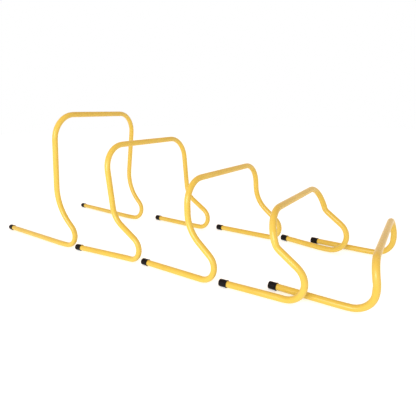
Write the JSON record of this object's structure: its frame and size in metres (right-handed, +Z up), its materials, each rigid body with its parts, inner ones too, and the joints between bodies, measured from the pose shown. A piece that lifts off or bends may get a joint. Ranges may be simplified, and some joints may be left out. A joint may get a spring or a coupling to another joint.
{
  "type": "agility hurdle set",
  "caption": "Graduated row of bounce-back agility hurdles: each a bent yellow plastic tube with long floor feet, S-curved legs, a level crossbar and black rubber end caps.",
  "frame": {"origin": "floor level, under the middle of the whole row's box", "axes": "+X is the running direction, from the tallest hurdle to the lowest, feet pointing back; +Y is the left side; +Z is up"},
  "size_m": [1.5322, 0.5662, 0.4923],
  "materials": {
    "tube_yellow": "glossy bright yellow plastic tube, slightly orange in the shade, with soft highlights and faint handling scuffs",
    "cap_black": "black moulded rubber, satin, with dust and light wear"
  },
  "bodies": {
    "hurdle_1": {"hurdle_1_tube": "tube_yellow", "hurdle_1_cap_right": "cap_black", "hurdle_1_cap_left": "cap_black"},
    "hurdle_2": {"hurdle_2_tube": "tube_yellow", "hurdle_2_cap_right": "cap_black", "hurdle_2_cap_left": "cap_black"},
    "hurdle_3": {"hurdle_3_tube": "tube_yellow", "hurdle_3_cap_right": "cap_black", "hurdle_3_cap_left": "cap_black"},
    "hurdle_4": {"hurdle_4_tube": "tube_yellow", "hurdle_4_cap_right": "cap_black", "hurdle_4_cap_left": "cap_black"},
    "hurdle_5": {"hurdle_5_tube": "tube_yellow", "hurdle_5_cap_right": "cap_black", "hurdle_5_cap_left": "cap_black"}
  },
  "joints": [
    {"name": "hurdle_2_spacing", "type": "slide", "parent": "hurdle_1", "child": "hurdle_2", "axis": [1, 0, 0], "range_m": [0, 0.6]},
    {"name": "hurdle_3_spacing", "type": "slide", "parent": "hurdle_2", "child": "hurdle_3", "axis": [1, 0, 0], "range_m": [0, 0.6]},
    {"name": "hurdle_4_spacing", "type": "slide", "parent": "hurdle_3", "child": "hurdle_4", "axis": [1, 0, 0], "range_m": [0, 0.6]},
    {"name": "hurdle_5_spacing", "type": "slide", "parent": "hurdle_4", "child": "hurdle_5", "axis": [1, 0, 0], "range_m": [0, 0.6]}
  ]
}
